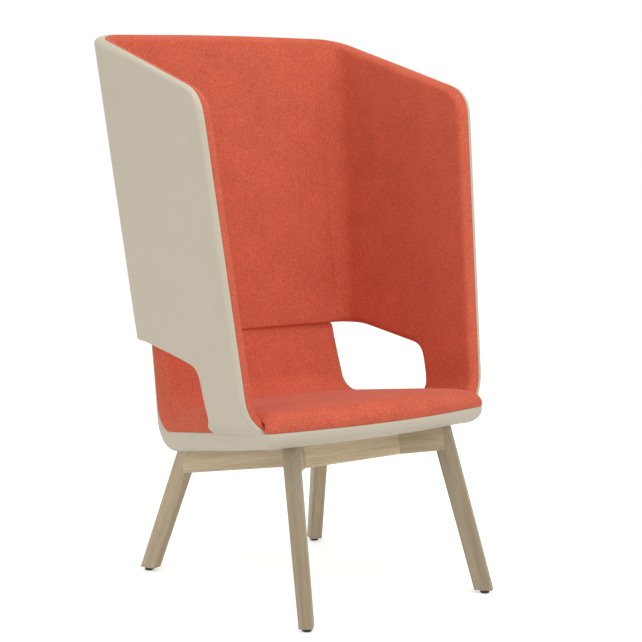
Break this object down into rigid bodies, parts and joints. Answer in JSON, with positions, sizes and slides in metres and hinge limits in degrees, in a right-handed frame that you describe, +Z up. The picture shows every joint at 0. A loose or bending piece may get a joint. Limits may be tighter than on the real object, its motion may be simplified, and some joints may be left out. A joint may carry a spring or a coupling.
{
  "type": "acoustic high back lounge chair",
  "caption": "High back lounge chair: a padded screen wraps round the sitter above a bent, cushioned seat unit on a splayed wooden leg base with floor glides.",
  "frame": {"origin": "on the floor, at the centre of the chair's overall width and depth", "axes": "+Z up, -Y the way the sitter faces, +X across the chair"},
  "size_m": [0.812, 0.7738, 1.3438],
  "materials": {
    "red_felt": "matt wool felt with a mixed yarn colour",
    "beige_cover": "smooth, low sheen",
    "oak": "pale matt lacquered oak",
    "plywood": "raw birch plywood",
    "glide_plastic": "matt black",
    "steel": "zinc plated"
  },
  "bodies": {
    "root": {"leg_front_left": "oak", "leg_front_right": "oak", "leg_rear_left": "oak", "leg_rear_right": "oak", "arm_front_left": "oak", "arm_front_right": "oak", "arm_rear_left": "oak", "arm_rear_right": "oak", "front_stretcher": "oak", "glide_front_left": "glide_plastic", "glide_front_right": "glide_plastic", "glide_rear_left": "glide_plastic", "glide_rear_right": "glide_plastic", "base_bolts": "steel", "seat_board": "plywood", "back_board": "plywood", "seat_cover": "beige_cover", "seat_cushion": "red_felt", "screen_core_left": "plywood", "screen_core_right": "plywood", "screen_core_back": "plywood", "screen_cover_left": "beige_cover", "screen_cover_right": "beige_cover", "screen_cover_back": "beige_cover", "screen_lining_left": "red_felt", "screen_lining_right": "red_felt", "screen_lining_back": "red_felt", "screen_straps": "steel"}
  },
  "joints": []
}
